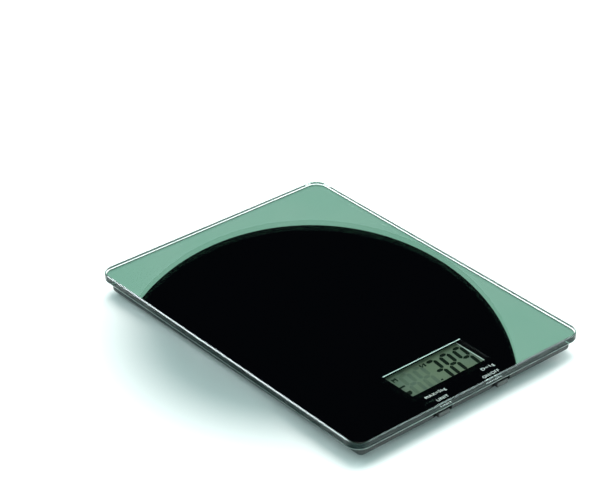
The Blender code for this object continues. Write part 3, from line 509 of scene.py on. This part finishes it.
def make_label(name, words, centre, width, finishes):
    """Printed words on the underside of the glass, read from above."""
    curve = bpy.data.curves.new(name, "FONT")
    curve.body = words
    curve.align_x = "CENTER"
    curve.offset = LABEL_THINNING
    curve.space_character = LABEL_SPACING
    shape = bpy.data.objects.new(name, curve)
    bpy.context.scene.collection.objects.link(shape)
    bpy.context.view_layer.update()
    depsgraph = bpy.context.evaluated_depsgraph_get()
    flat = bpy.data.meshes.new_from_object(shape.evaluated_get(depsgraph))
    bpy.data.objects.remove(shape)
    xs = [vert.co.x for vert in flat.vertices]
    ys = [vert.co.y for vert in flat.vertices]
    scale_x = width / (max(xs) - min(xs))
    scale_y = CAP_HEIGHT / max(ys)
    middle = (max(xs) + min(xs)) / 2
    for vert in flat.vertices:
        vert.co = (
            centre[0] + (vert.co.x - middle) * scale_x,
            centre[1] + (vert.co.y - max(ys) / 2) * scale_y,
            GLASS_LOW.z + INK_LIFT,
        )
    flat.materials.clear()
    flat.materials.append(finishes["white_ink_and_painted_glow"])
    label = bpy.data.objects.new(name, flat)
    bpy.context.scene.collection.objects.link(label)
    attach(label, "scale")


def pointed_bar(start, end):
    """Corners of a bar with pointed ends, as distances along it and to its side."""
    half = DIGIT_STROKE / 2
    start, end = start + DIGIT_GAP, end - DIGIT_GAP
    return [
        (start, 0),
        (start + half, half),
        (end - half, half),
        (end, 0),
        (end - half, -half),
        (start + half, -half),
    ]


def segment_shape(kind):
    """One segment's corners, in a digit that stands upright with its lower left at 0, 0."""
    half = DIGIT_STROKE / 2
    left, right = half, DIGIT_WIDTH - half
    low, middle, high = half, DIGIT_HEIGHT / 2, DIGIT_HEIGHT - half
    upright = {
        "b": (right, middle, high),
        "c": (right, low, middle),
        "e": (left, low, middle),
        "f": (left, middle, high),
    }
    if kind in upright:
        x, start, end = upright[kind]
        return [(x + side, along) for along, side in pointed_bar(start, end)]
    y = {"a": high, "g": middle, "d": low}[kind]
    return [(along, y - side) for along, side in pointed_bar(left, right)]


def add_digit(builder, place, kinds, z0):
    """The named segments of the digit at a place, counted from the right."""
    left = DIGIT_RIGHT - DIGIT_WIDTH - place * DIGIT_PITCH
    for kind in kinds:
        outline = [(left + x + DIGIT_SLANT * y, DIGIT_BASE_Y + y) for x, y in segment_shape(kind)]
        add_plate(builder, outline, z0, z0 + SEGMENT_THICKNESS)


def make_digits(finishes):
    """The reading and small signs, dark on the display, and the faint digits that aren't lit."""
    z0 = LCD_TOP + SEGMENT_LIFT
    builder = bmesh.new()
    for place, digit in enumerate(reversed(READING)):
        add_digit(builder, place, SEGMENTS[digit], z0)
    for mark in DISPLAY_SIGNS:
        outline = [(x * MM, y * MM) for x, y in mark]
        add_plate(builder, outline, z0, z0 + SEGMENT_THICKNESS)
    piece("display_segments", builder, [finishes["segment"]], sharp=None)
    builder = bmesh.new()
    for place in UNLIT_PLACES:
        add_digit(builder, place, "abcdefg", z0)
    piece("display_unlit_segments", builder, [finishes["ghost"]], sharp=None)


def make_button_details(finishes):
    """Painted light on the buttons: a paler, lit sheet on each cap's front face, and a dark sheet of
    painted shade in the notch that each cap slides in.
    """
    builder = bmesh.new()
    for key in ("unit", "power"):
        low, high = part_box(f"{key}_button")
        middle = (low.x + high.x) / 2
        for x0, x1, z0, z1 in (
            (middle - NOTCH_SHADE_HALF, low.x - NOTCH_SHADE_GAP, NOTCH_SHADE_Z[0], NOTCH_SHADE_Z[1]),
            (high.x + NOTCH_SHADE_GAP, middle + NOTCH_SHADE_HALF, NOTCH_SHADE_Z[0], NOTCH_SHADE_Z[1]),
            (low.x - NOTCH_SHADE_GAP, high.x + NOTCH_SHADE_GAP, high.z + NOTCH_SHADE_GAP, NOTCH_SHADE_Z[1]),
        ):
            outline = rectangle(x0, BASE_FRONT + NOTCH_SHADE_DEPTH[0], x1, BASE_FRONT + NOTCH_SHADE_DEPTH[1])
            add_plate(builder, outline, z0, z1)

        face = bmesh.new()
        margin = LIT_FACE_MARGIN
        outline = rectangle(low.x + margin, low.y - LIT_FACE_DEPTH, high.x - margin, low.y)
        add_plate(face, outline, low.z + margin, high.z - margin)
        piece(f"{key}_painted_lit_button_face", face, [finishes["lit button face"]], f"{key}_key")
    piece("button_surrounds", builder, [finishes["surround"]], sharp=None)


def make_window_highlights(finishes):
    """Painted highlights: a pale strip that glows a little along the window's back, and one on the
    display's right.
    """
    builder = bmesh.new()
    left, _, right, back = WINDOW
    z = GLASS_LOW.z + BACK_HIGHLIGHT_LIFT
    add_plate(builder, rectangle(left, back - BACK_HIGHLIGHT_WIDTH, right, back), z, z + BACK_HIGHLIGHT_THICKNESS)
    z = LCD_TOP + RIGHT_HIGHLIGHT_LIFT
    add_plate(builder, rectangle(*RIGHT_HIGHLIGHT), z, z + RIGHT_HIGHLIGHT_THICKNESS)
    piece("window_highlights", builder, [finishes["painted highlight edge"]], sharp=None)


def dress_nodes(finishes):
    corners = ("front_left", "front_right", "back_left", "back_right")
    plan = {
        "glass_adhesive": "tape",
        "base_cover": "shell",
        "battery_door": "door",
        "coin_cell": "cell",
        "battery_contact_negative": "nickel",
        "battery_contact_positive": "nickel",
        "main_board": "board",
        "controller_chip": "epoxy",
        "clock_crystal": "crystal",
        "filter_capacitor": "sleeve",
        "lcd_panel": "display",
        "lcd_gasket": "foam",
        "lcd_frame": "frame",
        "zebra_strip": "zebra",
        "battery_lead_negative": "black lead",
        "battery_lead_positive": "red lead",
    }
    for key in ("unit", "power"):
        plan[f"{key}_button"] = "button"
        plan[f"{key}_switch"] = "can"
        plan[f"{key}_plunger"] = "plunger"
    for number in range(1, 5):
        plan[f"board_screw_{number}"] = "screw"
    for corner in corners:
        plan[f"load_sensor_{corner}"] = "spring"
        plan[f"sensor_holder_{corner}"] = "holder"
        plan[f"strain_gauge_{corner}"] = "sealant"
        plan[f"foot_{corner}"] = "foot"
        plan[f"foot_pad_{corner}"] = "rubber"
        plan[f"sensor_lead_{corner}"] = "white lead"
    for node, finish in plan.items():
        dress(node, finishes[finish])


# Studio

FLOOR_HALF = 6
FLOOR_DROP = 0.1 * MM
# The sky is brightest towards this side, and weakest on the other
SKY_COLOUR = (0.72, 1, 0.975, 1)
SKY_BRIGHT_SIDE = (-0.62, 0.78, 0)
SKY_STRENGTH = (0.85, 1.1)
# A dark card just over the plate: the print mirrors it, and the camera doesn't see it
# Its outline is a painted reflection: lying so close, it keeps one place on the plate from every side
CARD_CENTRE = (-43.3 * MM, -34.3 * MM)
CARD_HALF = (134.6 * MM, 98.5 * MM)
CARD_TURN = 0.888
CARD_GAP = 0.2 * MM
CARD_EDGE = 0.5 * MM
CARD_STEPS = 720
# A dome over the plate that only keeps light off the floor beside it
SHADE_PLACE = (-12 * MM, 15 * MM)
SHADE_HALF = (90 * MM, 90 * MM, 58 * MM)
SHADE_GAP = 0.2 * MM
# Lamps: name, place, size in metres, power in watts and colour. They face the frame's origin
LAMPS = (
    ("key", (0.3, 0.25, 2.2), 1.9, 55, (1, 0.93, 0.92)),
    ("right_fill", (1.9, 0.55, 0.8), 0.7, 16, (1, 0.95, 0.94)),
)
# Lamps that only make highlights, on the ground arrises
RIM_COLOUR = (0.85, 0.97, 1)
RIM_LAMPS = (
    ("left_rim", (-0.62, 1.28, 1.55), 0.9, 36, RIM_COLOUR),
    ("front_rim", (1.27, -0.62, 1.58), 0.9, 9, RIM_COLOUR),
)


def paint_sky(world):
    """Soft even light, a little green, and brighter behind on the left."""
    nodes = world.node_tree.nodes
    links = world.node_tree.links
    coordinates = nodes.new("ShaderNodeTexCoord")
    direction = nodes.new("ShaderNodeVectorMath")
    direction.operation = "DOT_PRODUCT"
    direction.inputs[1].default_value = SKY_BRIGHT_SIDE
    blend = nodes.new("ShaderNodeMapRange")
    blend.inputs["From Min"].default_value = -1
    blend.inputs["From Max"].default_value = 1
    blend.inputs["To Min"].default_value = SKY_STRENGTH[0]
    blend.inputs["To Max"].default_value = SKY_STRENGTH[1]
    background = nodes["Background"]
    background.inputs["Color"].default_value = SKY_COLOUR
    links.new(coordinates.outputs["Generated"], direction.inputs[0])
    links.new(direction.outputs["Value"], blend.inputs["Value"])
    links.new(blend.outputs["Result"], background.inputs["Strength"])


def add_lamp(name, place, size, power, colour):
    """A round lamp that the mirror print doesn't show."""
    lamp = bpy.data.lights.new(name, "AREA")
    lamp.shape = "DISK"
    lamp.size = size
    lamp.energy = power
    lamp.color = colour
    holder = bpy.data.objects.new(name, lamp)
    holder.location = place
    holder.rotation_euler = Vector(place).to_track_quat("Z", "Y").to_euler()
    holder.visible_transmission = False
    bpy.context.scene.collection.objects.link(holder)
    return holder


def make_card():
    """The mirrored card, a painted reflection: an ellipse that is cut off at the plate's edges."""
    # A faint bluish glow tints that dark painted reflection
    cloth = principled(
        "painted_reflection_card",
        (0, 0, 0),
        1.0,
        Specular_IOR_Level=0.0,
        Emission_Color=(0.6, 0.55, 1, 1),
        Emission_Strength=0.006,
    )
    # It is clear to rays from the matt surfaces under the glass, so that the display gets its light
    links = cloth.node_tree.links
    path = add_node(cloth, "ShaderNodeLightPath")
    clear = add_node(cloth, "ShaderNodeBsdfTransparent")
    blend = add_node(cloth, "ShaderNodeMixShader")
    links.new(path.outputs["Diffuse Depth"], blend.inputs["Fac"])
    links.new(shader_of(cloth).outputs["BSDF"], blend.inputs[1])
    links.new(clear.outputs["BSDF"], blend.inputs[2])
    links.new(blend.outputs["Shader"], cloth.node_tree.nodes["Material Output"].inputs["Surface"])

    reach_x = GLASS_HIGH.x - CARD_EDGE
    reach_y = GLASS_HIGH.y - CARD_EDGE
    outline = []
    for step in range(CARD_STEPS):
        angle = 2 * math.pi * step / CARD_STEPS
        along = CARD_HALF[0] * math.cos(angle)
        across = CARD_HALF[1] * math.sin(angle)
        x = CARD_CENTRE[0] + along * math.cos(CARD_TURN) - across * math.sin(CARD_TURN)
        y = CARD_CENTRE[1] + along * math.sin(CARD_TURN) + across * math.cos(CARD_TURN)
        corner = (min(reach_x, max(-reach_x, x)), min(reach_y, max(-reach_y, y)))
        if not outline or corner != outline[-1]:
            outline.append(corner)
    builder = bmesh.new()
    z0 = GLASS_HIGH.z + CARD_GAP
    builder.faces.new([builder.verts.new((x, y, z0)) for x, y in outline])
    card = piece("mirrored_card", builder, [cloth], body=None, sharp=None)
    card.visible_camera = False
    card.visible_diffuse = False
    card.visible_shadow = False


def make_shade():
    """The dome that shades the floor. Mirrors and the camera don't show it."""
    builder = bmesh.new()
    bmesh.ops.create_uvsphere(builder, u_segments=64, v_segments=32, radius=1)
    for vert in builder.verts:
        vert.co = Vector(SHADE_HALF) * vert.co
    cloth = principled("shade_cloth", (0.006, 0.007, 0.01), 1.0, Specular_IOR_Level=0.0)
    shade = piece("shade", builder, [cloth], body=None, sharp=180)
    shade.location = (*SHADE_PLACE, GLASS_HIGH.z + SHADE_GAP + SHADE_HALF[2])
    shade.visible_camera = False
    shade.visible_glossy = False
    shade.visible_transmission = False


def make_floor():
    builder = bmesh.new()
    bmesh.ops.create_grid(builder, x_segments=1, y_segments=1, size=FLOOR_HALF)
    finish = principled("floor", (0.9, 0.9, 0.9), 0.8, Specular_IOR_Level=0.1)
    floor = piece("floor", builder, [finish], body=None, sharp=None)
    floor.location.z = -FLOOR_DROP


def make_camera():
    camera = bpy.data.cameras.new("camera")
    camera.lens = CAMERA_LENS
    camera.sensor_width = CAMERA_SENSOR
    holder = bpy.data.objects.new("camera", camera)
    holder.location = CAMERA_PLACE
    holder.rotation_euler = (math.radians(90 - CAMERA_ELEVATION), 0, math.radians(CAMERA_AZIMUTH))
    bpy.context.scene.collection.objects.link(holder)
    bpy.context.scene.camera = holder


def make_studio():
    scene = bpy.context.scene
    scene.view_settings.view_transform = "Standard"
    world = bpy.data.worlds.new("studio")
    scene.world = world
    world.use_nodes = True
    paint_sky(world)
    make_floor()
    make_card()
    make_shade()
    for lamp in LAMPS:
        add_lamp(*lamp)
    for lamp in RIM_LAMPS:
        rim = add_lamp(*lamp)
        rim.visible_diffuse = False
        rim.data.use_shadow = False
    make_camera()


finishes = make_finishes()
dress_nodes(finishes)
make_glass(finishes)
make_print(finishes)
for label in LABELS:
    make_label(*label, finishes)
make_digits(finishes)
make_window_highlights(finishes)
make_button_details(finishes)
make_studio()
